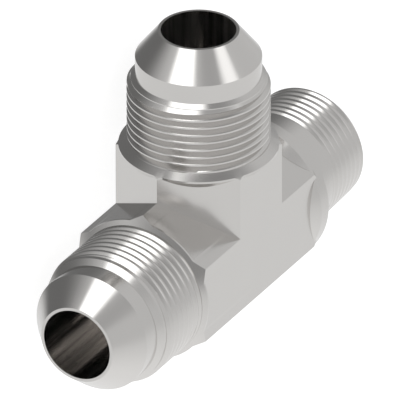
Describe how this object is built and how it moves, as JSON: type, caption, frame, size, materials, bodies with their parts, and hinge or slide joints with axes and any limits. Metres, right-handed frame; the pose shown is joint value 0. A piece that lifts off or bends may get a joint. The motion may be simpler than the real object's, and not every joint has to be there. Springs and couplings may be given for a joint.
{
  "type": "tee adapter",
  "caption": "Run tee fitting with two flared, straight-threaded ends and one taper pipe end, hexagonal wrench flats at the middle and bores that cross.",
  "frame": {"origin": "the point where the axes of the run and the branch cross, at the middle of the bores", "axes": "+X runs out of the taper pipe end and -X out of the run's flare end; +Y runs out of the branch's flare end; +Z is square to both, and up as the adapter lies on its collars"},
  "size_m": [0.0614, 0.0429, 0.0212],
  "materials": {
    "tee_body": "satin, machined"
  },
  "bodies": {
    "root": {"tee_body": "tee_body"}
  },
  "joints": []
}
